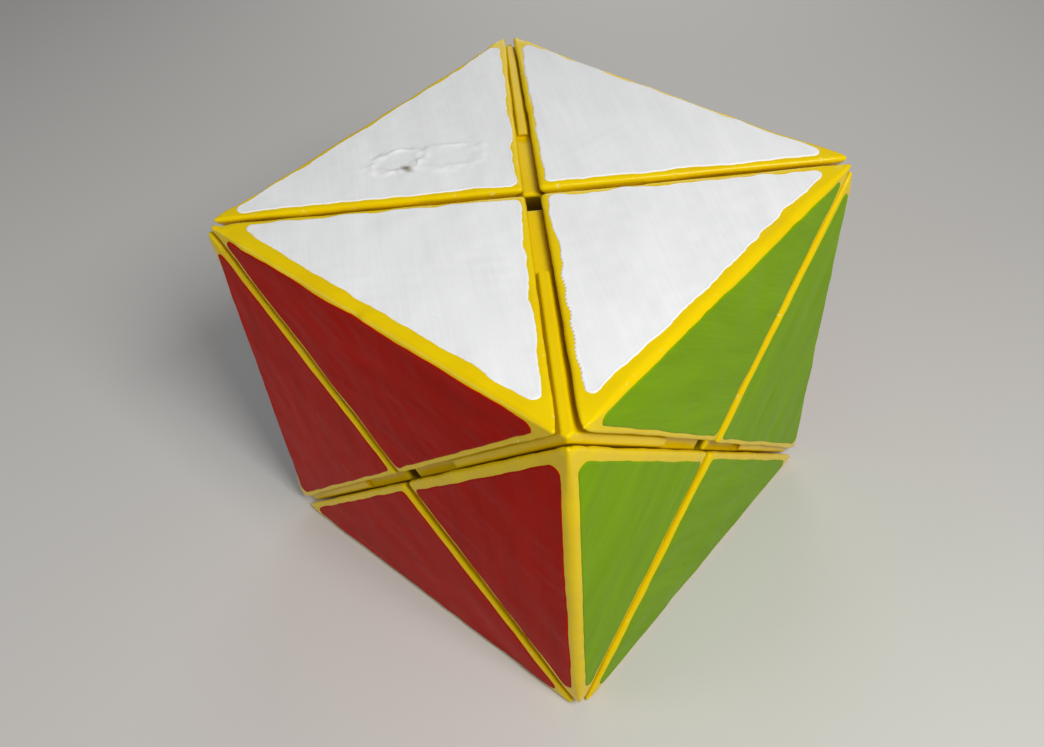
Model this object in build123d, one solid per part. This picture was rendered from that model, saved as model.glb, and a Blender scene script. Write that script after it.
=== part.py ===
"""A corner-turning puzzle cube: twelve edge pieces, cut along both diagonals of every face, held on a round
core by eight hidden corner pieces that turn about the cube's body diagonals.

The origin is on the surface that the cube stands on, under its centre. +Z is up, -Y is the front face and
+X the right one. The pieces are made about the centre of the core, where all eight turning axes meet, and
lifted as they are written. All lengths are in millimetres and all angles in degrees.

Every layer that turns is bounded by surfaces of revolution about its own axis: a flat cut outside the
flange sphere, a narrow cone in the shell that holds the flanges and necks, and a wide cone in the shell that
holds the feet. A foot is wider than its neck, so a flange hooks over it and the edge piece can't fall out.
"""

from build123d import *
import math
import os

# ---- Driving sizes -------------------------------------------------------------------------------------
SIDE = 57.0  # the cube over its bare plastic faces

EDGE_CLEARANCE = 0.28  # from a cut plane to the wall of an edge piece
CORNER_CLEARANCE = 0.12  # from a cut plane to the wall of a corner piece
EDGE_ROUNDING = 0.5  # radius on every outer edge of an edge piece
CORNER_ROUNDING = 0.4  # radius on every ridge of a corner piece

BALL_RADIUS = 10.0  # the core
SHELL_CLEARANCE = 0.4  # between one spherical shell and the next
STALK_CLEARANCE = 0.1  # between the core and the corner piece that turns on it
FOOT_THICKNESS = 5.0  # of the shell that holds the feet

FOOT_ANGLE = 50.0  # from a turning axis to the side of its feet
NECK_ANGLE = 42.0  # from a turning axis to the rim of its flange
FOOT_ANGLE_CLEARANCE = 1.3  # each side of the foot cone
NECK_ANGLE_CLEARANCE = 0.8  # each side of the neck cone

RIDGE_RECESS = 1.0  # from a face down to the ridge of a corner cap
LOW_RIDGE_RECESS = 1.6  # from a face down to the ridge of a corner base

SCREW_RADIUS = 1.25
SCREW_HEAD_RADIUS = 2.2
SCREW_HEAD_HEIGHT = 1.6
SCREW_DEPTH = 5.5  # how far the screw goes into the core
SLOT_WIDTH = 0.5
SLOT_DEPTH = 0.8
BORE_CLEARANCE = 0.1  # between the screw and the corner piece that turns about it
HEAD_MARGIN = 0.5  # from the screw's head to the counterbore's wall
HEAD_SPACE = 2.0  # from the screw's head to the cap's plug
COUNTERBORE_FLOOR = 6.6  # wall between the core's side of a corner base and the floor of its counterbore
SPRING_LENGTH = 4.6
SPRING_WIRE_RADIUS = 0.25
SPRING_MARGIN = 0.35  # from the screw to the spring
SPRING_TURNS = 5
WASHER_THICKNESS = 0.5
WASHER_MARGIN = 0.3  # from the washer to the counterbore's wall
STACK_CLEARANCE = 0.1  # between the spring, its washer and the counterbore's floor
PLUG_LENGTH = 1.8  # how far a cap's plug goes into the counterbore
PLUG_CLEARANCE = 0.05

PANEL_THICKNESS = 0.2
PANEL_EDGE_MARGIN = 0.5  # from the rounding along the cube's edge
PANEL_POINT_MARGIN = 0.2  # from the point of the flat, towards the face's centre
PANEL_CORNER_RADIUS = 0.8

# ---- Sizes that follow ---------------------------------------------------------------------------------
HALF = SIDE / 2
CUT_DISTANCE = HALF / math.sqrt(3)  # from the centre to a plane through three face diagonals
REACH = 2 * SIDE  # long enough to pass through the whole cube

FOOT_INNER = BALL_RADIUS + SHELL_CLEARANCE
FOOT_OUTER = FOOT_INNER + FOOT_THICKNESS
FLANGE_INNER = FOOT_OUTER + SHELL_CLEARANCE
FLANGE_OUTER = CUT_DISTANCE / math.cos(math.radians(NECK_ANGLE))  # where the neck cone meets the flat cut
EDGE_UNDERSIDE = FLANGE_OUTER + SHELL_CLEARANCE
STALK_INNER = BALL_RADIUS + STALK_CLEARANCE
ROOT_OVERLAP = 0.6  # how far a neck runs into the body and the foot that it joins

AXIS_SPACING = math.degrees(math.acos(1 / 3))  # between the axes of two neighbouring corners
STALK_ANGLE = AXIS_SPACING - FOOT_ANGLE - FOOT_ANGLE_CLEARANCE

COUNTERBORE_HEIGHT = STALK_INNER + COUNTERBORE_FLOOR
SPRING_START = COUNTERBORE_HEIGHT + STACK_CLEARANCE
WASHER_START = SPRING_START + SPRING_LENGTH + STACK_CLEARANCE
HEAD_START = WASHER_START + WASHER_THICKNESS
CAP_HEIGHT = HEAD_START + SCREW_HEAD_HEIGHT + HEAD_SPACE + PLUG_LENGTH  # along the turning axis

COUNTERBORE_RADIUS = SCREW_HEAD_RADIUS + HEAD_MARGIN
WASHER_RADIUS = COUNTERBORE_RADIUS - WASHER_MARGIN
SPRING_RADIUS = SCREW_RADIUS + SPRING_MARGIN + SPRING_WIRE_RADIUS  # at the middle of the wire

# From a face's centre to the point of an edge piece's flat there.
FLAT_POINT = math.sqrt(3) * (EDGE_CLEARANCE + EDGE_ROUNDING) + EDGE_ROUNDING

CORNERS = {
    f"{'top' if z > 0 else 'bottom'}_{'back' if y > 0 else 'front'}_{'right' if x > 0 else 'left'}": (x, y, z)
    for z in (1, -1)
    for y in (-1, 1)
    for x in (-1, 1)
}

# Each edge piece by its two faces.
EDGES = (
    ("top", "front"),
    ("top", "right"),
    ("top", "back"),
    ("top", "left"),
    ("front", "right"),
    ("right", "back"),
    ("back", "left"),
    ("left", "front"),
    ("bottom", "front"),
    ("bottom", "right"),
    ("bottom", "back"),
    ("bottom", "left"),
)

FACE_NORMALS = {
    "top": (0, 0, 1),
    "bottom": (0, 0, -1),
    "front": (0, -1, 0),
    "back": (0, 1, 0),
    "right": (1, 0, 0),
    "left": (-1, 0, 0),
}

FACE_COLOURS = {
    "top": "white",
    "bottom": "black",
    "front": "red",
    "back": "orange",
    "right": "green",
    "left": "blue",
}


# ---- Building blocks -----------------------------------------------------------------------------------
def along(direction):
    """The location that carries +Z to a direction from the origin."""
    return Plane(origin=(0, 0, 0), z_dir=Vector(*direction)).location


def half_space(direction, distance):
    """Everything beyond a plane at that distance from the origin."""
    block = Box(REACH, REACH, REACH, align=(Align.CENTER, Align.CENTER, Align.MIN))
    return along(direction) * Pos(0, 0, distance) * block


def on_ray(radius, angle):
    """The point at a distance from the origin, on a ray tilted from +Z towards +X."""
    tilt = math.radians(angle)
    return (radius * math.sin(tilt), 0, radius * math.cos(tilt))


def arc(radius, start, end):
    """An arc about the origin between two tilts from +Z."""
    return ThreePointArc(on_ray(radius, start), on_ray(radius, (start + end) / 2), on_ray(radius, end))


def sector(direction, half_angle, inner, outer):
    """The part of the space between two spheres that lies within an angle of an axis."""
    profile = [
        Line(on_ray(inner, 0), on_ray(outer, 0)),
        arc(outer, 0, half_angle),
        Line(on_ray(outer, half_angle), on_ray(inner, half_angle)),
        arc(inner, half_angle, 0),
    ]
    return along(direction) * revolve(make_face(profile), axis=Axis.Z)


def spool(direction, neck_angle, foot_angle, outer):
    """A narrow sector of the neck's shell standing on a wide sector of the foot's shell."""
    profile = [
        Line(on_ray(FOOT_INNER, 0), on_ray(outer, 0)),
        arc(outer, 0, neck_angle),
        Line(on_ray(outer, neck_angle), on_ray(FOOT_OUTER, neck_angle)),
        arc(FOOT_OUTER, neck_angle, foot_angle),
        Line(on_ray(FOOT_OUTER, foot_angle), on_ray(FOOT_INNER, foot_angle)),
        arc(FOOT_INNER, foot_angle, 0),
    ]
    return along(direction) * revolve(make_face(profile), axis=Axis.Z)


def rod(direction, radius, start, end):
    """A cylinder on an axis through the origin, from one distance along it to another."""
    solid = Cylinder(radius, end - start, align=(Align.CENTER, Align.CENTER, Align.MIN))
    return along(direction) * Pos(0, 0, start) * solid


# ---- The edge piece, between the front face and the top face -------------------------------------------
FRONT_TOP_ENDS = ((-1, -1, 1), (1, -1, 1))


def edge_body():
    """The part of an edge piece that shows: a four-sided wedge, rounded all over, hollowed by the flanges."""
    inset = EDGE_CLEARANCE + EDGE_ROUNDING
    wedge = Box(SIDE, SIDE - 2 * EDGE_ROUNDING, SIDE - 2 * EDGE_ROUNDING)
    for end in FRONT_TOP_ENDS:
        wedge = wedge & half_space(end, CUT_DISTANCE + inset)
    rounded = offset(wedge.solid(), amount=EDGE_ROUNDING, kind=Kind.ARC)
    return rounded - Sphere(EDGE_UNDERSIDE)


def edge_piece():
    """The wedge on its neck and foot, which lie where the spools of both ends' turning axes meet."""
    neck_angle = NECK_ANGLE - NECK_ANGLE_CLEARANCE
    foot_angle = FOOT_ANGLE - FOOT_ANGLE_CLEARANCE
    left, right = [
        spool(end, neck_angle, foot_angle, EDGE_UNDERSIDE + ROOT_OVERLAP) for end in FRONT_TOP_ENDS
    ]
    return edge_body() + (left & right)


def panel_outline():
    """The coloured triangle of one face: the flat of the edge piece, less a margin, with rounded corners."""
    long_side = HALF - EDGE_ROUNDING - PANEL_EDGE_MARGIN
    point = FLAT_POINT + PANEL_POINT_MARGIN
    triangle = Polyline(
        (-(long_side - point), -long_side),
        (long_side - point, -long_side),
        (0, -point),
        close=True,
    )
    face = make_face(triangle)
    return fillet(face.vertices(), PANEL_CORNER_RADIUS)


def top_panel():
    """The panel on the top face of the front top edge piece."""
    return extrude(Pos(0, 0, HALF) * panel_outline(), amount=PANEL_THICKNESS)


def front_panel():
    """The panel on the front face of the front top edge piece: the top one, turned about the edge."""
    swap = Plane(origin=(0, 0, 0), x_dir=(-1, 0, 0), z_dir=(0, -1, 0)).location
    return swap * top_panel()


# ---- The corner piece at the top back right corner, where all three signs are positive ------------------
AXIS = (1, 1, 1)
NEIGHBOUR_AXES = ((1, 1, -1), (1, -1, 1), (-1, 1, 1))


def corner_wedge(recess):
    """The three-sided point between three edge pieces: ridges taken down below the faces, and rounded."""
    half = HALF - recess - CORNER_ROUNDING
    solid = Box(2 * half, 2 * half, 2 * half)
    solid = solid & half_space(AXIS, CUT_DISTANCE + CORNER_CLEARANCE + CORNER_ROUNDING)
    for neighbour in NEIGHBOUR_AXES:
        solid = solid - half_space(neighbour, CUT_DISTANCE - CORNER_CLEARANCE - CORNER_ROUNDING)
    return offset(solid.solid(), amount=CORNER_ROUNDING, kind=Kind.ARC)


def corner_base():
    """The hidden corner: a wedge on a three-lobed flange on a round stalk, bored for its screw."""
    wedge = corner_wedge(LOW_RIDGE_RECESS) - half_space(AXIS, CAP_HEIGHT)
    wedge = wedge - Sphere(FLANGE_OUTER - ROOT_OVERLAP)
    flange = sector(AXIS, NECK_ANGLE - NECK_ANGLE_CLEARANCE, FLANGE_INNER, FLANGE_OUTER)
    stalk = sector(AXIS, STALK_ANGLE, STALK_INNER, FLANGE_INNER + ROOT_OVERLAP)
    body = wedge + flange + stalk
    for neighbour in NEIGHBOUR_AXES:
        bite_angle = NECK_ANGLE + NECK_ANGLE_CLEARANCE
        body = body - sector(neighbour, bite_angle, FOOT_OUTER, EDGE_UNDERSIDE)
    bore = rod(AXIS, SCREW_RADIUS + BORE_CLEARANCE, 0, CAP_HEIGHT)
    counterbore = rod(AXIS, COUNTERBORE_RADIUS, COUNTERBORE_HEIGHT, CAP_HEIGHT + STACK_CLEARANCE)
    return body - bore - counterbore


def corner_cap():
    """The tip that closes the counterbore and shows as ridges in the seams."""
    tip = corner_wedge(RIDGE_RECESS) & half_space(AXIS, CAP_HEIGHT)
    plug_radius = COUNTERBORE_RADIUS - PLUG_CLEARANCE
    return tip + rod(AXIS, plug_radius, CAP_HEIGHT - PLUG_LENGTH, CAP_HEIGHT)


# ---- The core and what fastens the corners to it, along +Z ----------------------------------------------
def core_ball():
    ball = Sphere(BALL_RADIUS)
    for direction in CORNERS.values():
        ball = ball - rod(direction, SCREW_RADIUS, BALL_RADIUS - SCREW_DEPTH, BALL_RADIUS + 1)
    return ball


def screw():
    """A pan-head screw with a crossed recess, from its tip in the core to its head."""
    tip = BALL_RADIUS - SCREW_DEPTH
    z_axis = (0, 0, 1)
    head = rod(z_axis, SCREW_HEAD_RADIUS, HEAD_START, HEAD_START + SCREW_HEAD_HEIGHT)
    head = fillet(head.edges().sort_by(Axis.Z)[-1], SCREW_HEAD_HEIGHT / 2)
    slot_length = 2 * SCREW_HEAD_RADIUS - SCREW_HEAD_HEIGHT
    slot = Box(slot_length, SLOT_WIDTH, SLOT_DEPTH, align=(Align.CENTER, Align.CENTER, Align.MAX))
    slot = Pos(0, 0, HEAD_START + SCREW_HEAD_HEIGHT) * slot
    return rod(z_axis, SCREW_RADIUS, tip, HEAD_START) + head - slot - Rot(0, 0, 90) * slot


def washer():
    z_axis = (0, 0, 1)
    hole = rod(z_axis, SCREW_RADIUS + BORE_CLEARANCE, WASHER_START - 1, HEAD_START + 1)
    return rod(z_axis, WASHER_RADIUS, WASHER_START, HEAD_START) - hole


def spring():
    """A round wire wound into a coil, its length measured over the wire."""
    height = SPRING_LENGTH - 2 * SPRING_WIRE_RADIUS
    path = Helix(pitch=height / SPRING_TURNS, height=height, radius=SPRING_RADIUS)
    start = Plane(origin=path @ 0, z_dir=path % 0)
    coil = sweep(start * Circle(SPRING_WIRE_RADIUS), path=path, is_frenet=True)
    return Pos(0, 0, SPRING_START + SPRING_WIRE_RADIUS) * coil


# ---- Placing ------------------------------------------------------------------------------------------
def at_corner(signs):
    """Carries the top back right corner to another corner by a rotation of the cube."""
    x, y, z = signs
    across = (x, 0, 0) if x * y * z > 0 else (0, y, 0)
    return Plane(origin=(0, 0, 0), x_dir=across, z_dir=(0, 0, z)).location


def at_edge(upper, outer):
    """Carries the front top edge piece to another edge: its top face to one, its front face to another."""
    z_dir = Vector(*FACE_NORMALS[upper])
    y_dir = -Vector(*FACE_NORMALS[outer])
    return Plane(origin=(0, 0, 0), x_dir=y_dir.cross(z_dir), z_dir=z_dir).location


def at_all_corners(shape):
    """One copy of a shape made along +Z on each turning axis, as separate solids."""
    return Compound(children=[along(direction) * shape for direction in CORNERS.values()])


def write(name, shape):
    """Lifts a piece from the core's centre to the standing surface, and writes it."""
    export_step(Pos(0, 0, HALF + PANEL_THICKNESS) * shape, f"parts/{name}.step")


def main():
    os.makedirs("parts", exist_ok=True)
    write("core_ball", core_ball())
    write("corner_screws", at_all_corners(screw()))
    write("spring_washers", at_all_corners(washer()))
    write("corner_springs", at_all_corners(spring()))

    base, cap = corner_base(), corner_cap()
    for name, signs in CORNERS.items():
        write(f"corner_base_{name}", at_corner(signs) * base)
        write(f"corner_cap_{name}", at_corner(signs) * cap)

    edge, upper_panel, outer_panel = edge_piece(), top_panel(), front_panel()
    for upper, outer in EDGES:
        place = at_edge(upper, outer)
        write(f"edge_{upper}_{outer}", place * edge)
        write(f"{FACE_COLOURS[upper]}_panel_{outer}", place * upper_panel)
        write(f"{FACE_COLOURS[outer]}_panel_{upper}", place * outer_panel)


main()
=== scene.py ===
"""The looks of a corner-turning puzzle cube: cast yellow pieces with brushed enamel panels, in metres, built
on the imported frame. Run as a script; laid out as an add-on whose panel rebuilds each group of pieces."""

import math

import bpy
import numpy as np
from bpy.props import FloatProperty, FloatVectorProperty, IntProperty, PointerProperty, StringProperty
from mathutils import Matrix, Vector


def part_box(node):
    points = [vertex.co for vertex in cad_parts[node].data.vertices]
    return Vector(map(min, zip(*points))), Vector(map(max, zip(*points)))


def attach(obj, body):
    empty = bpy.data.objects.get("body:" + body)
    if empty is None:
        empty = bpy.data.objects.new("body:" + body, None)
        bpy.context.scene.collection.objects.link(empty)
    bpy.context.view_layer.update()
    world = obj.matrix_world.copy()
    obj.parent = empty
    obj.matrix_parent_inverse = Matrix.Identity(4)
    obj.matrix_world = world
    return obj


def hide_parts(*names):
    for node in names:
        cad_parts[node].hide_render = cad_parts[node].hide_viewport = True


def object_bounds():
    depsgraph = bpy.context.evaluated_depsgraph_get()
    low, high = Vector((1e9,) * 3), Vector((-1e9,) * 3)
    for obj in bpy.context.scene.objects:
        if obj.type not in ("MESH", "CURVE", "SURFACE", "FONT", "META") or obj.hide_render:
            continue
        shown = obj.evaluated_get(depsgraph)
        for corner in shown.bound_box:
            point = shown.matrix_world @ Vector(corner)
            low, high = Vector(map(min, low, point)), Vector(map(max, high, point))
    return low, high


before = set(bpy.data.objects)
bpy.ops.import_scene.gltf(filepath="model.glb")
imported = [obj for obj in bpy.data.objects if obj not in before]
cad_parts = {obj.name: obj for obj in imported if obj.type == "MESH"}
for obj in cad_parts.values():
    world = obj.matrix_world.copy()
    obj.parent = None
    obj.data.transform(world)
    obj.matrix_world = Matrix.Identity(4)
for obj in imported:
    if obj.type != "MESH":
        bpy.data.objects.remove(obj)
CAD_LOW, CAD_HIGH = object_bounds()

bl_info = {
    "name": "Corner-Turning Puzzle Cube",
    "version": (1, 0, 0),
    "blender": (4, 5, 0),
    "location": "View3D > Sidebar > Puzzle Cube",
    "description": "Builds a puzzle cube of cast resin pieces with enamelled panels, and a studio for it",
    "category": "Add Mesh",
}

MM = 0.001  # metres in a millimetre

# How finely the surfaces are divided.
SIDE_STOPS = 37  # along each side of a wedge's section
RUN_STOPS = 90  # sections from a wedge's tip to its middle
TURN_STOPS = 97  # round a neck and foot
BEND_STOPS = 5  # round each bend of the neck's profile
CORNER_STOPS = 17  # round each corner of a panel
PLAIN_PANEL = (640, 22)  # points round a panel, and rings from there to its middle
FINE_PANEL = (960, 60)  # the same, where there are teeth or a blemish

# How hand finishing shows, lengths in millimetres.
SWELL, RIPPLE, RIPPLE_SHARE = 8.0, 2.6, 0.35  # two wavelengths, and the ripples' height against the swells'
DENT_SPREAD, DENT_DEPTH = (0.5, 1.3), (0.03, 0.11)

# How rims and bends are rounded.
TIP_START, TIP_RUN = 0.60, 0.34  # where the tips' rounding sets in and takes over, in half sides
RIM_SPREAD = 0.12  # one less the cosine at which a direction counts wholly as rim
BEND_REACH, MOST_OF_SIDE = 0.35, 0.45  # what a bend in the neck takes: millimetres, and at most this share

# The enamel's edge: rings across it as shares of its width, its lip and its flat as shares of the thickness,
# how deep a panel is sunk in the plastic, and how far inwards the outline's stray is felt, in millimetres.
EDGE_RINGS = (0, 0.03, 0.10, 0.22, 0.40, 0.65, 1.0)
LIP, FLAT = 0.20, 0.85
SINK, STRAY_REACH = 0.12, 4.0

# Each edge piece by its two faces, and the colour of every face.
EDGES = (
    ("top", "front"), ("top", "right"), ("top", "back"), ("top", "left"),
    ("front", "right"), ("right", "back"), ("back", "left"), ("left", "front"),
    ("bottom", "front"), ("bottom", "right"), ("bottom", "back"), ("bottom", "left"),
)
FACE_NORMALS = {
    "top": (0, 0, 1), "bottom": (0, 0, -1), "front": (0, -1, 0),
    "back": (0, 1, 0), "right": (1, 0, 0), "left": (-1, 0, 0),
}
FACE_COLOURS = {
    "top": "white", "bottom": "black", "front": "red",
    "back": "orange", "right": "green", "left": "blue",
}

CENTRE = np.array((CAD_LOW + CAD_HIGH) / 2)
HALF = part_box("edge_top_front")[1].z - CENTRE[2]  # from the centre to a bare plastic face
PANEL_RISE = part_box("white_panel_front")[1].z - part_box("white_panel_front")[0].z


# ---- Settings ------------------------------------------------------------------------------------------
def length(name, description, millimetres):
    """A length setting, held in metres."""
    return FloatProperty(name=name, description=description, default=millimetres * MM,
                         min=0.0, subtype="DISTANCE", unit="LENGTH", precision=5)


def colour(name, description, hex_value):
    """A colour setting, as an sRGB hex value."""
    return StringProperty(name=name, description=description, default=hex_value)


class EdgePieceSettings(bpy.types.PropertyGroup):
    rounding: length("Rounding", "Radius of the rounded rims", 0.52)
    edge_rounding: length("Edge rounding", "Radius along the cube's own edge", 1.05)
    tip_rounding: length("Tip rounding", "Radius of the rims where a piece ends in a point", 0.38)
    hollow: length("Hollow radius", "Sphere about the centre that clears the corner flanges", 22.54)
    foot_inner: length("Foot inner radius", "Sphere that the foot slides on", 10.4)
    foot_outer: length("Foot outer radius", "Sphere under the flanges", 15.4)
    neck_angle: FloatProperty(name="Neck angle", description="From a turning axis to the neck's side",
                              default=math.radians(41.2), subtype="ANGLE")
    foot_angle: FloatProperty(name="Foot angle", description="From a turning axis to the foot's side",
                              default=math.radians(48.7), subtype="ANGLE")
    waviness: length("Waviness", "How far hand finishing left the faces from flat", 0.03)
    dent_count: IntProperty(name="Dents", description="Small dents along the rims of each piece",
                            default=16, min=0)


class PanelSettings(bpy.types.PropertyGroup):
    top_margin: length("Top margin", "From the cube's edge to the white and black panels", 1.9)
    far_margin: length("Far margin", "The same, for the back and left pieces", 1.0)
    side_margin: length("Side margin", "From the cube's edge to the other panels", 0.75)
    upright_margin: length("Upright margin", "From the near upright edge to its two panels", 1.35)
    seam_margin: length("Seam margin", "From an edge piece's sharp wall to a panel, along the face", 1.28)
    corner: length("Corner radius", "Radius of the panels' corners", 0.9)
    rise: FloatProperty(name="Rise", description="Thickness of the enamel", default=0.6 * PANEL_RISE,
                        subtype="DISTANCE", unit="LENGTH", precision=5)
    lip: length("Edge width", "Width over which the enamel's edge rounds over", 0.22)
    wander: length("Outline wander", "How far a brushed outline strays from straight", 0.20)


class FinishSettings(bpy.types.PropertyGroup):
    resin: colour("Resin", "Cast yellow plastic", "#EED204")
    white: colour("White", "Enamel of the top face", "#F0F1F2")
    black: colour("Black", "Enamel of the bottom face", "#17181A")
    red: colour("Red", "Enamel of the front face", "#B41404")
    orange: colour("Orange", "Enamel of the back face", "#E25A0A")
    green: colour("Green", "Enamel of the right face", "#7CA600")
    blue: colour("Blue", "Enamel of the left face", "#123E9C")


class StudioSettings(bpy.types.PropertyGroup):
    azimuth: FloatProperty(name="Azimuth", description="Camera's side, from the front towards the right",
                           default=math.radians(44.03), subtype="ANGLE")
    elevation: FloatProperty(name="Elevation", description="Camera's angle above the horizon",
                             default=math.radians(46.15), subtype="ANGLE")
    roll: FloatProperty(name="Roll", description="Camera's tilt about its own axis",
                        default=math.radians(-5.07), subtype="ANGLE")
    position: FloatVectorProperty(name="Position", description="Camera from the cube's centre, in half sides",
                                  default=(2.3547, -2.5963, 3.5233), size=3)
    lens: FloatProperty(name="Lens", description="Focal length on a 36 mm wide sensor, in millimetres",
                        default=34.1)
    floor: colour("Floor", "Plain pale floor", "#D2D0CC")


# ---- Placing -------------------------------------------------------------------------------------------
def edge_turn(upper, outer):
    """The rotation that carries the front top edge piece to the edge of two other faces, as a matrix."""
    z_axis = np.array(FACE_NORMALS[upper], float)
    y_axis = -np.array(FACE_NORMALS[outer], float)
    return np.column_stack((np.cross(y_axis, z_axis), y_axis, z_axis))


# How far each piece's two walls were filed back from their cut planes, in millimetres: near the middle of the
# face and at the tip, for the wall at the piece's left tip and then for the one at its right.
EVEN = (0.28, 0.28)
TIGHT = (0.10, 0.14)
WALLS = {
    ("top", "front"): (TIGHT, (0.30, 0.48)),
    ("top", "right"): ((0.34, 0.62), TIGHT),
    ("top", "back"): (TIGHT, (0.45, 0.22)),
    ("top", "left"): ((0.42, 0.22), TIGHT),
    ("front", "right"): (TIGHT, TIGHT),
    ("bottom", "front"): ((0.34, 0.30), TIGHT),
    ("bottom", "right"): (TIGHT, (0.34, 0.30)),
    ("left", "front"): ((0.36, 0.30), TIGHT),
    ("right", "back"): (TIGHT, (0.36, 0.30)),
}

# How much wider than usual the yellow rims along a piece's two walls are, in the same order.
PLAIN_RIMS = (1.0, 1.0)
RIMS = {("front", "right"): (1.0, 1.38)}

# How a few pieces sit a little out of true, as their springs let them: a turn in degrees about X, Y and Z,
# and a shift in millimetres. The three pieces round the lower front right corner stand out the most.
LOWER_LAYER = (0.10, -0.10, 0.02)
SLACK = {
    ("front", "right"): ((0.0, 0.0, -0.1), (0.05, -0.05, 0.10)),
    ("bottom", "front"): ((0.0, 0.05, 0.0), LOWER_LAYER),
    ("bottom", "right"): ((0.05, 0.0, 0.0), LOWER_LAYER),
    ("top", "right"): ((0.0, 0.1, 0.12), (0.03, 0.03, 0.02)),
    ("top", "front"): ((-0.1, 0.0, -0.12), (-0.03, -0.03, 0.0)),
}


def in_place(points, edge):
    """Turns a piece's points to their edge, tips them by that piece's slack, and moves them to the centre."""
    placed = points @ edge_turn(*edge).T
    turn, shift = SLACK.get(edge, ((0, 0, 0), (0, 0, 0)))
    tip = np.cross(np.radians(turn), placed)
    return placed + tip + np.array(shift) * MM + CENTRE


# ---- Surfaces ------------------------------------------------------------------------------------------
def wander(points, wavelength, seed, waves=12):
    """Smooth noise of size about one: a sum of plane waves of much the same length in random directions."""
    draw = np.random.default_rng(seed)
    directions = draw.normal(size=(waves, points.shape[1]))
    directions /= np.linalg.norm(directions, axis=1, keepdims=True)
    phases = draw.uniform(0, 2 * math.pi, waves)
    rates = 2 * math.pi / (wavelength * draw.uniform(0.7, 1.4, waves))
    return np.sin(points @ (directions * rates[:, None]).T + phases).sum(axis=1) * math.sqrt(2 / waves)


def crowded(count, strength=1.0):
    """Numbers from 0 to 1 that crowd towards both ends: a straight run blended into a half cosine wave."""
    even = np.linspace(0, 1, count)
    return (1 - strength) * even + strength * (0.5 - 0.5 * np.cos(math.pi * even))


def nearest_on_triangle(points, a, b, c):
    """The nearest point on a triangle: the foot of the perpendicular where it falls inside, by barycentric
    coordinates, and otherwise the nearest point on one of the three sides. Returns points and distances."""
    ab, ac, reach = b - a, c - a, points - a
    ab_ab, ab_ac, ac_ac = ab @ ab, ab @ ac, ac @ ac
    to_b, to_c = reach @ ab, reach @ ac
    scale = ab_ab * ac_ac - ab_ac * ab_ac
    along_b = (ac_ac * to_b - ab_ac * to_c) / scale
    along_c = (ab_ab * to_c - ab_ac * to_b) / scale
    inside = (along_b >= 0) & (along_c >= 0) & (along_b + along_c <= 1)
    best = a + np.outer(along_b, ab) + np.outer(along_c, ac)
    gap = np.where(inside, np.linalg.norm(points - best, axis=1), np.inf)
    for start, end in ((a, b), (b, c), (c, a)):
        run = end - start
        share = np.clip((points - start) @ run / (run @ run), 0, 1)
        on_side = start + np.outer(share, run)
        distance = np.linalg.norm(points - on_side, axis=1)
        best = np.where((distance < gap)[:, None], on_side, best)
        gap = np.minimum(distance, gap)
    return best, gap


def rounded(points, corners, radius):
    """Rounds a four-sided solid: each point goes to that distance from the nearest point of the smaller solid
    with these corners. Returns the points, the outward directions, and how far from flat each is, 0 to 1."""
    faces = [[corners[i] for i in range(4) if i != left_out] for left_out in range(4)]
    best, gap = nearest_on_triangle(points, *faces[0])
    for face in faces[1:]:
        other, distance = nearest_on_triangle(points, *face)
        best = np.where((distance < gap)[:, None], other, best)
        gap = np.minimum(distance, gap)
    outward = (points - best) / np.linalg.norm(points - best, axis=1, keepdims=True)
    middle = np.mean(corners, axis=0)
    steepest = np.full(len(points), -1.0)
    for a, b, c in faces:
        normal = np.cross(b - a, c - a)
        normal /= np.linalg.norm(normal) * np.sign(normal @ (a - middle))
        steepest = np.maximum(steepest, outward @ normal)
    return best + outward * radius, outward, np.clip((1 - steepest) / RIM_SPREAD, 0, 1)


def rings_to_mesh(rings, first_pole, last_pole):
    """Vertices and faces of a closed surface: rings of equally many points, with a pole at each end."""
    count, around = rings.shape[:2]
    vertices = np.concatenate([rings.reshape(-1, 3), [first_pole, last_pole]])
    here = np.arange(around)
    after = (here + 1) % around
    rows = np.arange(count - 1)[:, None] * around
    quads = np.stack([rows + here, rows + after, rows + around + after, rows + around + here], axis=-1)
    last = (count - 1) * around
    first_fan = np.stack([after, here, np.full(around, count * around)], axis=-1)
    last_fan = np.stack([last + here, last + after, np.full(around, count * around + 1)], axis=-1)
    return vertices, quads.reshape(-1, 4), np.concatenate([first_fan, last_fan])


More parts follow.
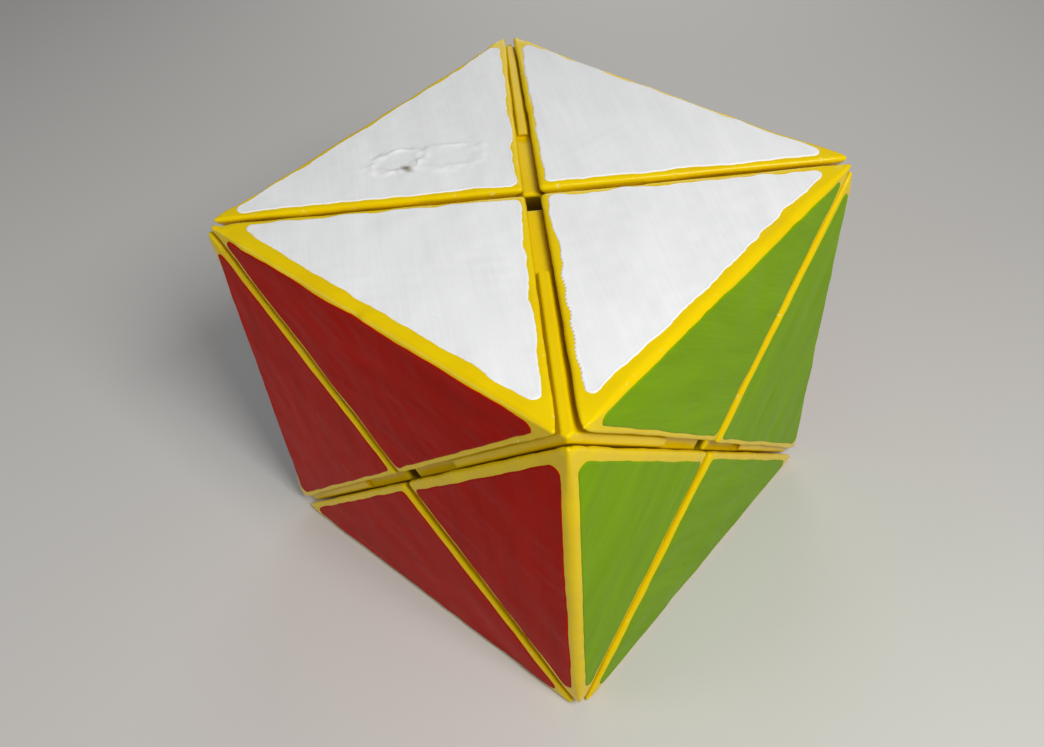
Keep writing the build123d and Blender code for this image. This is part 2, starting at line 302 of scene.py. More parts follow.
def make_object(name, vertices, quads, triangles, values=None, flat_map=None):
    """A smooth mesh object from arrays, with optional point values and a flat map in metres."""
    signed = np.einsum("ij,ij->i", vertices[triangles[:, 0]],
                       np.cross(vertices[triangles[:, 1]], vertices[triangles[:, 2]])).sum()
    for a, b, c in ((0, 1, 2), (0, 2, 3)):
        signed += np.einsum("ij,ij->i", vertices[quads[:, a]],
                            np.cross(vertices[quads[:, b]], vertices[quads[:, c]])).sum()
    if signed < 0:
        quads, triangles = quads[:, ::-1], triangles[:, ::-1]
    mesh = bpy.data.meshes.new(name)
    mesh.vertices.add(len(vertices))
    mesh.vertices.foreach_set("co", vertices.astype(np.float32).ravel())
    corners = np.concatenate([quads.ravel(), triangles.ravel()]).astype(np.int32)
    mesh.loops.add(len(corners))
    mesh.loops.foreach_set("vertex_index", corners)
    starts = np.concatenate([np.arange(len(quads)) * 4, len(quads) * 4 + np.arange(len(triangles)) * 3])
    mesh.polygons.add(len(starts))
    mesh.polygons.foreach_set("loop_start", starts.astype(np.int32))
    mesh.update(calc_edges=True)
    mesh.shade_smooth()
    for key, value in (values or {}).items():
        mesh.attributes.new(key, "FLOAT", "POINT").data.foreach_set("value", value.astype(np.float32))
    if flat_map is not None:
        layer = mesh.uv_layers.new(name="brushing")
        layer.uv.foreach_set("vector", flat_map[corners].astype(np.float32).ravel())
    piece = bpy.data.objects.new(name, mesh)
    bpy.context.scene.collection.objects.link(piece)
    return piece


# ---- The edge pieces -----------------------------------------------------------------------------------
def wedge_corners(walls, inset):
    """The left and right tips and the upper and front points of a wedge, each where three of its four planes
    meet. A wall's plane runs through its places near the two faces' middles and its place at the tip."""
    planes = {"top": (np.array((0, 0, 1.0)), HALF), "front": (np.array((0, -1.0, 0)), HALF)}
    for side, (middle, tip) in zip((-1, 1), walls):
        near = math.sqrt(3) * middle * MM
        far = HALF - math.sqrt(3) * tip * MM
        upper, front = np.array((0, -near, HALF)), np.array((0, -HALF, near))
        normal = np.cross(front - upper, np.array((side * far, -HALF, HALF)) - upper)
        normal *= side * np.sign(normal[0]) / np.linalg.norm(normal)
        planes["left" if side < 0 else "right"] = (normal, normal @ upper)

    def meeting(*names):
        normals = np.array([planes[name][0] for name in names])
        return np.linalg.solve(normals, np.array([planes[name][1] - inset for name in names]))

    return np.array([meeting("top", "front", "left"), meeting("top", "front", "right"),
                     meeting("top", "left", "right"), meeting("front", "left", "right")])


def wedge(walls, seed):
    """Triangular sections carried along the cube's edge. Each has its right angle at the edge, and legs that
    shrink evenly from the two inner points' section to nothing at both tips. The sharp wedge is then rounded,
    more finely towards its tips, and what lies inside the flange sphere is pushed out to it."""
    size = bpy.context.scene.edge_pieces
    left, right, upper, _ = wedge_corners(walls, 0.0)
    side = crowded(SIDE_STOPS, 0.85)[:-1]
    half_run = crowded(RUN_STOPS)[1:]
    along = np.concatenate([left[0] + (upper[0] - left[0]) * half_run,
                            right[0] + (upper[0] - right[0]) * half_run[-2::-1]])
    share = np.concatenate([half_run, half_run[-2::-1]])
    leg = ((upper[1] - left[1]) * share)[:, None]
    zero = np.zeros_like(side)
    across = np.concatenate([side, 1 - side, zero])
    down = np.concatenate([zero, side, 1 - side])
    rings = np.stack(np.broadcast_arrays(along[:, None], left[1] + leg * across, left[2] - leg * down),
                     axis=-1)
    vertices, quads, triangles = rings_to_mesh(rings, left, right)
    pointed, _, _ = rounded(vertices, wedge_corners(walls, size.tip_rounding), size.tip_rounding)
    at_tip = np.clip((np.abs(vertices[:, :1]) / HALF - TIP_START) / TIP_RUN, 0, 1)
    vertices, outward, rim = rounded(vertices, wedge_corners(walls, size.rounding), size.rounding)
    at_tip = (3 - 2 * at_tip) * at_tip**2
    vertices = vertices + (pointed - vertices) * at_tip
    # Along the cube's own edge the surface is drawn in to a wider arc about a line inside that edge.
    radius = size.edge_rounding + (size.tip_rounding - size.edge_rounding) * at_tip
    from_line = np.clip(vertices[:, 1:] * (-1, 1) - HALF + radius, 0, None)
    too_far = np.linalg.norm(from_line, axis=1, keepdims=True) / radius
    drawn_in = from_line * (1 - 1 / np.maximum(1, too_far))
    vertices[:, 1:] = vertices[:, 1:] - drawn_in * (-1, 1)
    vertices = vertices + outward * hand_finish(vertices, seed)[:, None]
    draw = np.random.default_rng(1000 + seed)
    rim_points = vertices[(rim > 0.5) & (np.linalg.norm(vertices, axis=1) > size.hollow * 1.2)]
    for spot in rim_points[draw.integers(0, len(rim_points), size.dent_count)]:
        spread, depth = draw.uniform(*DENT_SPREAD) * MM, draw.uniform(*DENT_DEPTH) * MM
        fall = np.exp(-((vertices - spot) ** 2).sum(axis=1) / spread**2)
        vertices = vertices - outward * (depth * fall)[:, None]
    distance = np.linalg.norm(vertices, axis=1, keepdims=True)
    vertices = vertices * np.maximum(1, size.hollow / distance)
    return vertices, quads, triangles, rim


def hand_finish(points, seed):
    """How far rubbing down by hand left the surface from true: long swells and short ripples."""
    size = bpy.context.scene.edge_pieces.waviness
    ripples = wander(points, RIPPLE * MM, seed + 500)
    return size * (wander(points, SWELL * MM, seed) + RIPPLE_SHARE * ripples)


def eased(stops, reach):
    """A path through stops with each inner corner replaced by a short curve that starts and ends at reach."""
    path = [stops[0]]
    for before, corner, after in zip(stops, stops[1:], stops[2:]):
        into, out = before - corner, after - corner
        start = corner + into * min(MOST_OF_SIDE, reach / np.linalg.norm(into))
        end = corner + out * min(MOST_OF_SIDE, reach / np.linalg.norm(out))
        for share in np.linspace(0, 1, BEND_STOPS):
            path.append((1 - share) ** 2 * start + 2 * share * (1 - share) * corner + share**2 * end)
    return np.array(path + [stops[-1]])


def neck_and_foot():
    """A profile of distance and spread carried round the middle of the piece. The outline on the unit sphere
    is the lens within an angle of both turning axes: where cos(spread) cos(tilt) - sin(spread) sin(tilt)
    |cos(turn)| is the cosine of that angle, solved for the spread."""
    size = bpy.context.scene.edge_pieces
    tilt = math.acos(math.sqrt(2 / 3))
    turn = np.linspace(0, 2 * math.pi, TURN_STOPS)[:-1]
    level, swing = math.cos(tilt), math.sin(tilt) * np.abs(np.cos(turn))

    def lens(angle):
        return np.arccos(math.cos(angle) / np.hypot(level, swing)) - np.arctan2(swing, level)

    top = size.hollow + size.rounding
    # Each stop is a distance from the centre and a share: 0 in the middle, 1 at the neck's side, 2 at the
    # foot's. The underside has several, so that it keeps to the core's sphere.
    underside = [(size.foot_inner, share) for share in np.linspace(0.05, 2, 9)]
    stops = np.array(underside + [(size.foot_outer, 2), (size.foot_outer, 1.5),
                                  (size.foot_outer, 1), (top, 1), (top, 0.05)])
    # Bends are eased with distances in millimetres and a share counted as four of them.
    path = eased(stops * (1 / MM, 4), BEND_REACH) / (1 / MM, 4)
    distance, share = path[:, :1], path[:, 1:]
    neck, foot = lens(size.neck_angle), lens(size.foot_angle)
    spread = np.where(share < 1, share * neck, neck + (share - 1) * (foot - neck))
    middle = np.array((0, -1, 1)) / math.sqrt(2)
    beside = np.array((0, 1, 1)) / math.sqrt(2)
    sideways = np.cos(turn)[:, None] * np.array((1, 0, 0)) + np.sin(turn)[:, None] * beside
    rings = distance[..., None] * (np.cos(spread)[..., None] * middle + np.sin(spread)[..., None] * sideways)
    return rings_to_mesh(rings, middle * size.foot_inner, middle * top)


def whole_edge_piece(edge, seed):
    """The wedge with its neck and foot, in one mesh."""
    vertices, quads, triangles, rim = wedge(WALLS.get(edge, (EVEN, EVEN)), seed)
    neck, neck_quads, neck_triangles = neck_and_foot()
    together = in_place(np.concatenate([vertices, neck]), edge)
    count = len(vertices)
    return make_object(
        f"resin_edge_{edge[0]}_{edge[1]}", together,
        np.concatenate([quads, neck_quads + count]),
        np.concatenate([triangles, neck_triangles + count]),
        {"rim": np.concatenate([rim, np.zeros(len(neck))])},
    )


# ---- The panels ----------------------------------------------------------------------------------------
def panel_outline(walls, rims, edge_margin, around):
    """A triangle with rounded corners, walked round at even steps. Its sides keep their margins from the
    cube's edge and from where the two walls cut the face. Returns the points, their outward directions and
    the steps."""
    size = bpy.context.scene.panels
    lines = [(np.array((0, -1.0)), HALF - edge_margin)]
    for side, (middle, tip), rim in zip((1, -1), walls[::-1], rims[::-1]):
        near = np.array((0, -math.sqrt(3) * middle * MM))
        far = np.array((side * (HALF - math.sqrt(3) * tip * MM), -HALF))
        normal = np.array((near[1] - far[1], far[0] - near[0])) * side
        normal /= np.linalg.norm(normal)
        lines.append((normal, normal @ near - size.seam_margin * rim))
    sharp = [np.linalg.solve(np.array([lines[i][0], lines[i - 1][0]]), (lines[i][1], lines[i - 1][1]))
             for i in range(3)]
    outline = []
    for i in range(3):
        here, into, out = sharp[i], sharp[i - 1] - sharp[i], sharp[(i + 1) % 3] - sharp[i]
        into, out = into / np.linalg.norm(into), out / np.linalg.norm(out)
        half_angle = math.acos(into @ out) / 2
        middle = here + (into + out) / np.linalg.norm(into + out) * size.corner / math.sin(half_angle)
        start = here + into * size.corner / math.tan(half_angle) - middle
        end = here + out * size.corner / math.tan(half_angle) - middle
        bend = math.pi - 2 * half_angle
        share = np.linspace(0, 1, CORNER_STOPS)[:, None]
        arc = np.sin((1 - share) * bend) * start + np.sin(share * bend) * end
        outline.append(middle + arc / math.sin(bend))
    outline = np.concatenate(outline + [outline[0][:1]])
    walked = np.concatenate([[0], np.cumsum(np.linalg.norm(np.diff(outline, axis=0), axis=1))])
    steps = np.linspace(0, walked[-1], around + 1)[:-1]
    points = np.column_stack([np.interp(steps, walked, outline[:, k]) for k in range(2)])
    tangent = np.roll(points, -1, axis=0) - np.roll(points, 1, axis=0)
    tangent /= np.linalg.norm(tangent, axis=1, keepdims=True)
    outward = np.column_stack([tangent[:, 1], -tangent[:, 0]])
    outward *= np.sign(((points - points.mean(axis=0)) * outward).sum())
    return points, outward, steps


def brushed_stray(points, steps, seed, rough, serrated):
    """How far the outline strays: slow waves, quicker ones, and a fine raggedness; on the lower half of one
    seam side, the teeth that a dry brush's bristles left."""
    slow = wander(points, 9.0 * MM, seed) + 0.55 * wander(points, 3.6 * MM, seed + 1)
    stray = rough * (0.62 * slow + 0.10 * wander(points, 1.1 * MM, seed + 2))
    if serrated:
        pitch, depth = 0.62 * MM, 0.17 * MM
        on_left = np.clip(-points[:, 0] / HALF * 6 - 1.2, 0, 1)
        on_left *= np.clip((points[:, 1] / HALF + 0.90) * 12, 0, 1)
        on_left *= points[:, 0] < points[:, 1] * 0.75
        teeth = 0.5 + 0.5 * np.sin(2 * math.pi * steps / pitch + wander(points, 5 * MM, seed + 3))
        stray = stray + on_left * depth * (teeth - 0.6)
    return stray


def blemish(flat):
    """A broken bubble in the enamel: a raised ring with a dirty pit inside its rim, and a shallow second
    bubble beside it. Places and sizes are in millimetres. Returns the height and how dirty the surface is."""
    def bubble(middle, radii, turn, width):
        reach = (flat / MM - np.array(middle)) @ np.array([(math.cos(turn), -math.sin(turn)),
                                                           (math.sin(turn), math.cos(turn))])
        off = (np.hypot(reach[:, 0] / radii[0], reach[:, 1] / radii[1]) - 1) * min(radii) / width
        off = off + 0.4 * wander(flat, 2.3 * MM, 92)
        return np.exp(-off**2), 1 / (1 + np.exp(np.clip(off * 2.5, -40, 40)))

    def spot(middle, radii):
        return np.exp(-(((flat / MM - np.array(middle)) / np.array(radii)) ** 2).sum(axis=1))

    ripple = 0.75 + 0.25 * wander(flat, 1.7 * MM, 91)
    rim, inside = bubble((5.3, -17.9), (3.6, 2.1), -0.45, 0.42)
    faint_rim, faint_inside = bubble((0.6, -13.4), (4.2, 2.6), -0.75, 0.6)
    pit, crumb = spot((5.9, -15.9), (0.6, 1.0)), spot((7.0, -16.7), (0.4, 0.6))
    height = 0.26 * rim * ripple + 0.02 * inside + 0.12 * faint_rim + 0.02 * faint_inside
    height = height - 0.09 * pit - 0.06 * crumb + 0.10 * spot((6.6, -14.7), (1.3, 0.8))
    return height * MM, np.clip(1.1 * pit - 0.2, 0, 1) + 0.3 * crumb


def panel_mesh(name, edge, swapped, margin, seed, brushing, rough, serrated, marked):
    """Rings that shrink from the outline to the panel's middle. The outermost ones rise as a quarter of an
    ellipse with a slight lip, and the outline's stray fades out inwards; below, the panel sinks into the
    plastic, so that no gap can show."""
    size = bpy.context.scene.panels
    order = -1 if swapped else 1
    around, inward = FINE_PANEL if serrated or marked else PLAIN_PANEL
    outline, outward, steps = panel_outline(WALLS.get(edge, (EVEN, EVEN))[::order],
                                            RIMS.get(edge, PLAIN_RIMS)[::order], margin, around)
    stray = brushed_stray(outline, steps, seed, rough, serrated)[:, None]
    middle = outline.mean(axis=0)
    insets = np.array(EDGE_RINGS) * size.lip
    # The power crowds the rings towards the outline.
    shares = np.linspace(0, 1, inward)[1:-1] ** 1.35
    flat = [outline + outward * (stray - inset) for inset in insets]
    base = outline - outward * size.lip
    run = np.linalg.norm(middle - base, axis=1, keepdims=True)
    for share in shares:
        fade = np.exp(-(share * run / (STRAY_REACH * MM)))
        flat.append(base + (middle - base) * share + outward * stray * fade * (1 - share))
    rise = np.sqrt(np.clip(1 - (1 - insets / size.lip) ** 2, 0, 1))
    lip = LIP * np.exp(-((insets / size.lip - 1.1) / 0.5) ** 2)
    height = size.rise * np.concatenate([FLAT * rise + lip, np.full(len(shares), FLAT)])
    sunk = -SINK * MM
    # Three rings underneath, from the middle out to the outline, then those that show.
    flat = np.stack([flat[-1], flat[len(insets)], flat[0]] + flat)
    count, around = flat.shape[:2]
    rings = np.concatenate([flat, np.zeros((count, around, 1))], axis=-1)
    pole = np.append(middle, 0)
    vertices, quads, triangles = rings_to_mesh(rings, pole, pole)
    of_rings = np.concatenate([np.full(3, sunk), height])
    level = np.concatenate([np.repeat(of_rings, around), [sunk, height[-1]]])
    showing = level > 0
    dirt = np.zeros(len(vertices))
    if marked:
        marks, dirt = blemish(vertices[:, :2])
        level, dirt = level + marks * showing, dirt * showing
    on_face = vertices + np.array((0, 0, HALF))
    up = np.array((0, 0, 1))
    if swapped:
        on_face = on_face @ np.array([(-1, 0, 0), (0, 0, -1), (0, -1, 0)], float).T
        up = np.array((0, -1, 0))
    level = level + hand_finish(on_face, EDGES.index(edge))
    spin = np.array([(math.cos(brushing), math.sin(brushing)), (-math.sin(brushing), math.cos(brushing))])
    placed = in_place(on_face + up * level[:, None], edge)
    return make_object(name, placed, quads, triangles, {"dirt": dirt}, vertices[:, :2] @ spin.T)


# ---- Materials -----------------------------------------------------------------------------------------
def linear(hex_value):
    """An sRGB hex value as linear red, green, blue and an alpha of one."""
    parts = [int(hex_value.lstrip("#")[i:i + 2], 16) / 255 for i in (0, 2, 4)]
    return tuple(p / 12.92 if p <= 0.04045 else ((p + 0.055) / 1.055) ** 2.4 for p in parts) + (1.0,)


def add(tree, kind, inputs=None, **settings):
    """Adds a node with its settings, and fills its inputs with values or links from other nodes' outputs."""
    node = tree.nodes.new(kind)
    for key, value in settings.items():
        setattr(node, key, value)
    for key, value in (inputs or {}).items():
        if isinstance(value, bpy.types.NodeSocket):
            tree.links.new(value, node.inputs[key])
        else:
            node.inputs[key].default_value = value
    return node


def new_material(name):
    """An empty node material, its tree and its output node."""
    material = bpy.data.materials.new(name)
    material.use_nodes = True
    tree = material.node_tree
    tree.nodes.clear()
    return material, tree, tree.nodes.new("ShaderNodeOutputMaterial")


def cast_resin():
    """Polyurethane resin cast in a mould, then rubbed down and polished by hand: a satin, very slightly
    translucent plastic with faint mottling, an uneven skin, fine scratches, and paler nicks on its rims.
    Its mirror shine is kept low, so that the pale floor doesn't wash out its colour."""
    material, tree, output = new_material("polyurethane_resin_cast_polished")
    finish = bpy.context.scene.finishes
    place = add(tree, "ShaderNodeTexCoord").outputs["Object"]
    rim = add(tree, "ShaderNodeAttribute", attribute_name="rim").outputs["Fac"]
    # Mottling about 9 mm across, and an orange-peel skin of about 0.9 mm.
    mottle = add(tree, "ShaderNodeTexNoise", {"Vector": place, "Scale": 110.0, "Detail": 3.0})
    peel = add(tree, "ShaderNodeTexNoise", {"Vector": place, "Scale": 1100.0, "Detail": 2.0})
    # Polishing scratches, drawn as coarse as 0.25 mm so that they show.
    long_way = add(tree, "ShaderNodeMapping", {"Vector": place, "Rotation": (0.6, 0.5, 0.8),
                                               "Scale": (300.0, 4000.0, 4000.0)})
    scratch = add(tree, "ShaderNodeTexNoise", {"Vector": long_way.outputs[0], "Scale": 1.0, "Detail": 4.0})
    base = add(tree, "ShaderNodeMix", {"Factor": mottle.outputs["Fac"], "A": linear(finish.resin),
                                       "B": linear("#E4BE00")}, data_type="RGBA")
    # Nicks where rims have knocked together, each about 0.7 mm, whitened as bruised plastic is.
    spots = add(tree, "ShaderNodeTexNoise", {"Vector": place, "Scale": 900.0, "Detail": 3.0,
                                             "Roughness": 0.65})
    worn = add(tree, "ShaderNodeMapRange", {"Value": spots.outputs["Fac"],
                                            "From Min": 0.66, "From Max": 0.73})
    nick = add(tree, "ShaderNodeMath", {0: worn.outputs[0], 1: rim}, operation="MULTIPLY")
    shade = add(tree, "ShaderNodeMix", {"Factor": nick.outputs[0], "A": base.outputs["Result"],
                                        "B": linear("#F3E08A")}, data_type="RGBA")
    gloss = add(tree, "ShaderNodeMapRange", {"Value": scratch.outputs["Fac"],
                                             "From Min": 0.35, "From Max": 0.75,
                                             "To Min": 0.16, "To Max": 0.26})
    dull = add(tree, "ShaderNodeMath", {0: nick.outputs[0], 1: 0.35, 2: gloss.outputs[0]},
               operation="MULTIPLY_ADD")
    skin = add(tree, "ShaderNodeBump", {"Strength": 0.35, "Distance": 0.00008, "Height": peel.outputs["Fac"]})
    fine = add(tree, "ShaderNodeBump", {"Strength": 0.12, "Distance": 0.00002,
                                        "Height": scratch.outputs["Fac"], "Normal": skin.outputs[0]})
    chips = add(tree, "ShaderNodeBump", {"Strength": 0.5, "Distance": 0.0001, "Height": nick.outputs[0],
                                         "Normal": fine.outputs[0]}, invert=True)
    shader = add(tree, "ShaderNodeBsdfPrincipled", {
        "Base Color": shade.outputs["Result"], "Roughness": dull.outputs[0], "Normal": chips.outputs[0],
        "IOR": 1.5, "Specular IOR Level": 0.14, "Subsurface Weight": 0.08,
        "Subsurface Radius": (1.0, 0.6, 0.1), "Subsurface Scale": 0.0012})
    tree.links.new(shader.outputs[0], output.inputs["Surface"])
    return material


def brushed_enamel(colour_name, streak, gloss, tint):
    """Model enamel laid on with a flat brush and lightly rubbed: satin, with long parallel brush lines, a
    slight change of depth from stroke to stroke, and a few dust specks. Its mirror shine is kept low too."""
    material, tree, output = new_material(f"enamel_brushed_{colour_name}")
    base = linear(getattr(bpy.context.scene.finishes, colour_name))
    along = add(tree, "ShaderNodeUVMap", uv_map="brushing").outputs[0]
    dirt = add(tree, "ShaderNodeAttribute", attribute_name="dirt").outputs["Fac"]
    # Bristle lines about 0.35 mm apart that run on for a centimetre or more, and strokes about 4 mm wide.
    bristles_at = add(tree, "ShaderNodeMapping", {"Vector": along, "Scale": (2800.0, 90.0, 1.0)})
    bristles = add(tree, "ShaderNodeTexNoise", {"Vector": bristles_at.outputs[0], "Scale": 1.0, "Detail": 4.0,
                                                "Roughness": 0.6, "Distortion": 0.15})
    strokes_at = add(tree, "ShaderNodeMapping", {"Vector": along, "Scale": (250.0, 45.0, 1.0)})
    strokes = add(tree, "ShaderNodeTexNoise", {"Vector": strokes_at.outputs[0], "Scale": 1.0, "Detail": 3.0})
    place = add(tree, "ShaderNodeTexCoord").outputs["Object"]
    dust = add(tree, "ShaderNodeTexVoronoi", {"Vector": place, "Scale": 330.0, "Randomness": 1.0})
    speck = add(tree, "ShaderNodeMapRange", {"Value": dust.outputs["Distance"],
                                             "From Min": 0.05, "From Max": 0.02})
    darker = tuple(max(0.0, v * tint) for v in base[:3]) + (1.0,)
    depth = add(tree, "ShaderNodeMapRange", {"Value": strokes.outputs["Fac"],
                                             "From Min": 0.35, "From Max": 0.7})
    laid = add(tree, "ShaderNodeMix", {"Factor": depth.outputs[0], "A": base, "B": darker}, data_type="RGBA")
    lines = add(tree, "ShaderNodeMapRange", {"Value": bristles.outputs["Fac"],
                                             "From Min": 0.42, "From Max": 0.72, "To Max": streak})
    lined = add(tree, "ShaderNodeMix", {"Factor": lines.outputs[0], "A": laid.outputs["Result"],
                                        "B": tuple(v * 0.62 for v in base[:3]) + (1.0,)}, data_type="RGBA")
    soiled = add(tree, "ShaderNodeMix", {"Factor": dirt, "A": lined.outputs["Result"],
                                         "B": linear("#6E5A3A")}, data_type="RGBA")
    rough = add(tree, "ShaderNodeMapRange", {"Value": bristles.outputs["Fac"],
                                             "From Min": 0.3, "From Max": 0.8,
                                             "To Min": gloss, "To Max": gloss + 0.16})
    ridges = add(tree, "ShaderNodeBump", {"Strength": 0.55, "Distance": 0.00005,
                                          "Height": bristles.outputs["Fac"]})
    swell = add(tree, "ShaderNodeBump", {"Strength": 0.35, "Distance": 0.00025,
                                         "Height": strokes.outputs["Fac"], "Normal": ridges.outputs[0]})
    specks = add(tree, "ShaderNodeBump", {"Strength": 0.6, "Distance": 0.00006, "Height": speck.outputs[0],
                                          "Normal": swell.outputs[0]})
    shader = add(tree, "ShaderNodeBsdfPrincipled", {
        "Base Color": soiled.outputs["Result"], "Roughness": rough.outputs[0], "Normal": specks.outputs[0],
        "IOR": 1.5, "Specular IOR Level": 0.02})
    tree.links.new(shader.outputs[0], output.inputs["Surface"])
    return material


def turned_steel(name, hex_value, roughness, grains_per_metre):
    """Steel wire or bar finished on a lathe or drawn through a die: grey metal with a fine, uneven grain."""
    material, tree, output = new_material(name)
    place = add(tree, "ShaderNodeTexCoord").outputs["Object"]
    grain = add(tree, "ShaderNodeTexNoise", {"Vector": place, "Scale": grains_per_metre, "Detail": 4.0})
    tone = add(tree, "ShaderNodeMix", {"Factor": grain.outputs["Fac"], "A": linear(hex_value),
                                       "B": linear("#6D6E70")}, data_type="RGBA")
    rough = add(tree, "ShaderNodeMapRange", {"Value": grain.outputs["Fac"], "To Min": roughness,
                                             "To Max": roughness + 0.25})
    bump = add(tree, "ShaderNodeBump", {"Strength": 0.25, "Distance": 0.00003,
                                        "Height": grain.outputs["Fac"]})
    shader = add(tree, "ShaderNodeBsdfPrincipled", {
        "Base Color": tone.outputs["Result"], "Metallic": 1.0, "Roughness": rough.outputs[0],
        "Normal": bump.outputs[0]})
    tree.links.new(shader.outputs[0], output.inputs["Surface"])
    return material


def moulded_nylon():
    """Injection-moulded black nylon: a dull, faintly pebbled surface that slides well."""
    material, tree, output = new_material("nylon_moulded_black")
    place = add(tree, "ShaderNodeTexCoord").outputs["Object"]
    pebble = add(tree, "ShaderNodeTexNoise", {"Vector": place, "Scale": 2200.0, "Detail": 3.0})
    tone = add(tree, "ShaderNodeMix", {"Factor": pebble.outputs["Fac"], "A": linear("#242527"),
                                       "B": linear("#343537")}, data_type="RGBA")
    bump = add(tree, "ShaderNodeBump", {"Strength": 0.4, "Distance": 0.00005,
                                        "Height": pebble.outputs["Fac"]})
    shader = add(tree, "ShaderNodeBsdfPrincipled", {
        "Base Color": tone.outputs["Result"], "Roughness": 0.55, "Normal": bump.outputs[0], "IOR": 1.53})
    tree.links.new(shader.outputs[0], output.inputs["Surface"])
    return material


def material_named(name, maker, *arguments):
    """The material of that name, made the first time that it is asked for."""
    return bpy.data.materials.get(name) or maker(*arguments)


def dress(piece, material):
    """Puts one material on a piece."""
    piece.data.materials.clear()
    piece.data.materials.append(material)


# ---- Operators -----------------------------------------------------------------------------------------
class PUZZLE_OT_edge_pieces(bpy.types.Operator):
    """Build the twelve cast edge pieces, each with its neck and foot"""

    bl_idname = "puzzle.edge_pieces"
    bl_label = "Edge Pieces"

    def execute(self, context):
        resin = material_named("polyurethane_resin_cast_polished", cast_resin)
        for seed, edge in enumerate(EDGES):
            node = f"edge_{edge[0]}_{edge[1]}"
            piece = whole_edge_piece(edge, seed)
            dress(piece, resin)
            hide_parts(node)
            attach(piece, node)
        return {"FINISHED"}


# Brush direction in degrees from the cube's edge, how strongly lines show, roughness and stroke darkening.
ENAMELS = {
    "white": (52, 0.10, 0.26, 0.93),
    "black": (90, 0.10, 0.22, 0.70),
    "red": (90, 0.22, 0.14, 0.80),
    "orange": (90, 0.22, 0.20, 0.85),
    "green": (50, 0.22, 0.18, 0.84),
    "blue": (90, 0.22, 0.18, 0.80),
}


class PUZZLE_OT_panels(bpy.types.Operator):
    """Paint the twenty-four enamel panels, two on each edge piece"""

    bl_idname = "puzzle.panels"
    bl_label = "Enamel Panels"

    def execute(self, context):
        size = context.scene.panels
        for index, edge in enumerate(EDGES):
            for swapped, (face, other) in enumerate((edge, edge[::-1])):
                colour_name = FACE_COLOURS[face]
                turn, streak, gloss, tint = ENAMELS[colour_name]
                level_face = face in ("top", "bottom")
                margin = size.side_margin
                if level_face:
                    margin = size.far_margin if other in ("back", "left") else size.top_margin
                if edge == ("front", "right"):
                    margin = size.upright_margin
                rough = size.wander * (0.9 if level_face else 0.3)
                seed = 40 + 2 * index + swapped
                serrated = edge == ("top", "right") and level_face
                marked = edge == ("top", "left") and level_face
                # Brush lines keep one direction across a level face; on the sides each panel has its own.
                away = {"top": 0, "front": 0, "right": 90, "back": 180, "left": 270, "bottom": 0}[other]
                brushing = math.radians(turn + (away if level_face else 0))
                node = f"{colour_name}_panel_{other}"
                piece = panel_mesh(f"enamel_{colour_name}_{other}", edge, bool(swapped), margin, seed,
                                   brushing, rough, serrated, marked)
                dress(piece, material_named(f"enamel_brushed_{colour_name}", brushed_enamel,
                                            colour_name, streak, gloss, tint))
                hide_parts(node)
                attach(piece, f"edge_{edge[0]}_{edge[1]}")
        return {"FINISHED"}


class PUZZLE_OT_corner_pieces(bpy.types.Operator):
    """Give the corner bases and caps their cast resin finish"""

    bl_idname = "puzzle.corner_pieces"
    bl_label = "Corner Pieces"

    def execute(self, context):
        resin = material_named("polyurethane_resin_cast_polished", cast_resin)
        for name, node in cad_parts.items():
            if name.startswith("corner_base_") or name.startswith("corner_cap_"):
                dress(node, resin)
        return {"FINISHED"}


class PUZZLE_OT_core(bpy.types.Operator):
    """Give the core, screws, springs and washers their finishes"""

    bl_idname = "puzzle.core"
    bl_label = "Core and Fasteners"

    def execute(self, context):
        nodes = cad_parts
        dress(nodes["core_ball"], moulded_nylon())
        dress(nodes["corner_screws"], turned_steel("steel_screw_zinc_plated", "#BFC0BC", 0.28, 900.0))
        dress(nodes["spring_washers"], turned_steel("steel_washer_stamped", "#B9BAB8", 0.34, 600.0))
        dress(nodes["corner_springs"], turned_steel("steel_spring_drawn_wire", "#9A9B9D", 0.25, 1500.0))
        return {"FINISHED"}


def area_light(name, place, target, size, power, tint):
    """A soft square light that faces a target; places are in half sides from the cube's centre."""
    data = bpy.data.lights.new(name, "AREA")
    data.shape = "SQUARE"
    data.size = size * HALF
    data.energy = power
    data.color = linear(tint)[:3]
    light = bpy.data.objects.new(name, data)
    bpy.context.scene.collection.objects.link(light)
    light.location = Vector(CENTRE) + Vector(place) * HALF
    aim = Vector(CENTRE) + Vector(target) * HALF - light.location
    light.rotation_mode = "QUATERNION"
    light.rotation_quaternion = aim.to_track_quat("-Z", "Y")
    return light


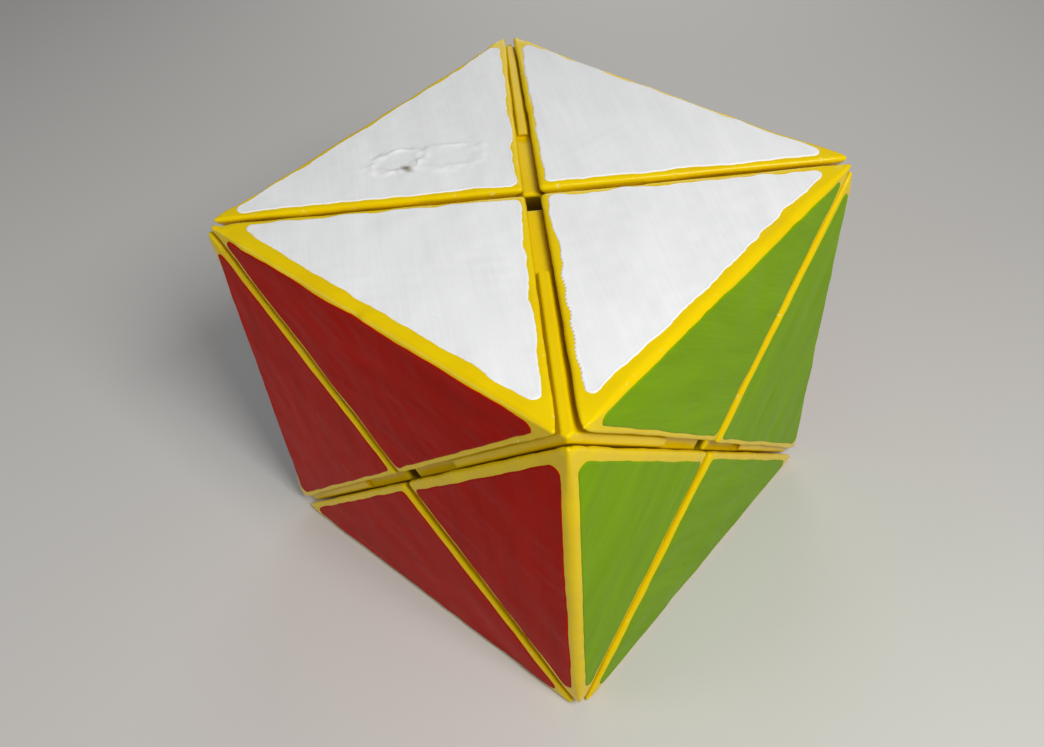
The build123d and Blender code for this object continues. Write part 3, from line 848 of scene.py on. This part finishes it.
class PUZZLE_OT_stage(bpy.types.Operator):
    """Lay the floor, and set the lights and the camera"""

    bl_idname = "puzzle.stage"
    bl_label = "Stage"

    def execute(self, context):
        scene = context.scene
        studio = scene.studio
        self.floor(studio)
        area_light("key_light", (6.0, -1.6, 7.2), (0, 0, 0), 3.2, 0.58, "#FFFEFC")
        area_light("fill_light", (-5.0, -8.0, 3.4), (0, 0, 0), 5.0, 0.13, "#FFFFFF")
        area_light("back_light", (-5.0, 7.5, 3.5), (0, 0, 0), 5.0, 0.12, "#FFFFFF")
        world = bpy.data.worlds.new("studio")
        world.use_nodes = True
        background = world.node_tree.nodes["Background"]
        background.inputs["Color"].default_value = linear("#E2E3E6")
        background.inputs["Strength"].default_value = 0.20
        scene.world = world
        scene.view_settings.view_transform = "Standard"
        self.camera(scene, studio)
        return {"FINISHED"}

    def floor(self, studio):
        """A round pale floor whose radius is many cube sides."""
        turn = np.linspace(0, 2 * math.pi, 129)[:-1]
        radii = np.array([0.5, 2, 6, 20, 60]) * HALF * 2
        rings = np.stack([np.outer(radii, np.cos(turn)), np.outer(radii, np.sin(turn)),
                          np.zeros((len(radii), len(turn)))], axis=-1) + (CENTRE[0], CENTRE[1], 0)
        count, around = rings.shape[:2]
        here = np.arange(around)
        after = (here + 1) % around
        rows = np.arange(count - 1)[:, None] * around
        faces = np.stack([rows + here, rows + around + here, rows + around + after, rows + after], axis=-1)
        mesh = bpy.data.meshes.new("floor")
        mesh.from_pydata(rings.reshape(-1, 3).tolist(), [], faces.reshape(-1, 4).tolist() + [here.tolist()])
        floor = bpy.data.objects.new("floor", mesh)
        bpy.context.scene.collection.objects.link(floor)
        material, tree, output = new_material("paper_matt_pale")
        place = add(tree, "ShaderNodeTexCoord").outputs["Object"]
        fibre = add(tree, "ShaderNodeTexNoise", {"Vector": place, "Scale": 900.0, "Detail": 4.0})
        bump = add(tree, "ShaderNodeBump", {"Strength": 0.15, "Distance": 0.0001,
                                            "Height": fibre.outputs["Fac"]})
        shader = add(tree, "ShaderNodeBsdfPrincipled", {
            "Base Color": linear(studio.floor), "Roughness": 0.85, "Normal": bump.outputs[0]})
        tree.links.new(shader.outputs[0], output.inputs["Surface"])
        dress(floor, material)

    def camera(self, scene, studio):
        """Looks along the line from azimuth and elevation, with a roll about that line."""
        data = bpy.data.cameras.new("camera")
        data.sensor_width = 36.0
        data.lens = studio.lens
        data.clip_start = 0.005
        camera = bpy.data.objects.new("camera", data)
        scene.collection.objects.link(camera)
        a, e, r = studio.azimuth, studio.elevation, studio.roll
        back = Vector((math.sin(a) * math.cos(e), -math.cos(a) * math.cos(e), math.sin(e)))
        right = Vector((math.cos(a), math.sin(a), 0))
        up = back.cross(right)
        across = right * math.cos(r) + up * math.sin(r)
        upward = up * math.cos(r) - right * math.sin(r)
        turn = Matrix((across, upward, back)).transposed()
        place = Vector(CENTRE) + Vector(studio.position) * HALF
        camera.matrix_world = Matrix.Translation(place) @ turn.to_4x4()
        scene.camera = camera


class PUZZLE_PT_sidebar(bpy.types.Panel):
    bl_idname = "PUZZLE_PT_sidebar"
    bl_label = "Puzzle Cube"
    bl_space_type = "VIEW_3D"
    bl_region_type = "UI"
    bl_category = "Puzzle Cube"

    def draw(self, context):
        for operator, group in OPERATORS:
            box = self.layout.box()
            box.operator(operator)
            if group:
                settings = getattr(context.scene, group)
                for key in type(settings).__annotations__:
                    box.prop(settings, key)


GROUPS = {
    "edge_pieces": EdgePieceSettings,
    "panels": PanelSettings,
    "finishes": FinishSettings,
    "studio": StudioSettings,
}
OPERATORS = (
    ("puzzle.edge_pieces", "edge_pieces"),
    ("puzzle.panels", "panels"),
    ("puzzle.corner_pieces", "finishes"),
    ("puzzle.core", None),
    ("puzzle.stage", "studio"),
)
CLASSES = (
    *GROUPS.values(),
    PUZZLE_OT_edge_pieces, PUZZLE_OT_panels, PUZZLE_OT_corner_pieces, PUZZLE_OT_core, PUZZLE_OT_stage,
    PUZZLE_PT_sidebar,
)


def register():
    for cls in CLASSES:
        bpy.utils.register_class(cls)
    for key, group in GROUPS.items():
        setattr(bpy.types.Scene, key, PointerProperty(type=group))


def unregister():
    for key in GROUPS:
        delattr(bpy.types.Scene, key)
    for cls in reversed(CLASSES):
        bpy.utils.unregister_class(cls)


def main():
    register()
    bpy.ops.puzzle.edge_pieces()
    bpy.ops.puzzle.panels()
    bpy.ops.puzzle.corner_pieces()
    bpy.ops.puzzle.core()
    bpy.ops.puzzle.stage()


if __name__ == "__main__":
    main()
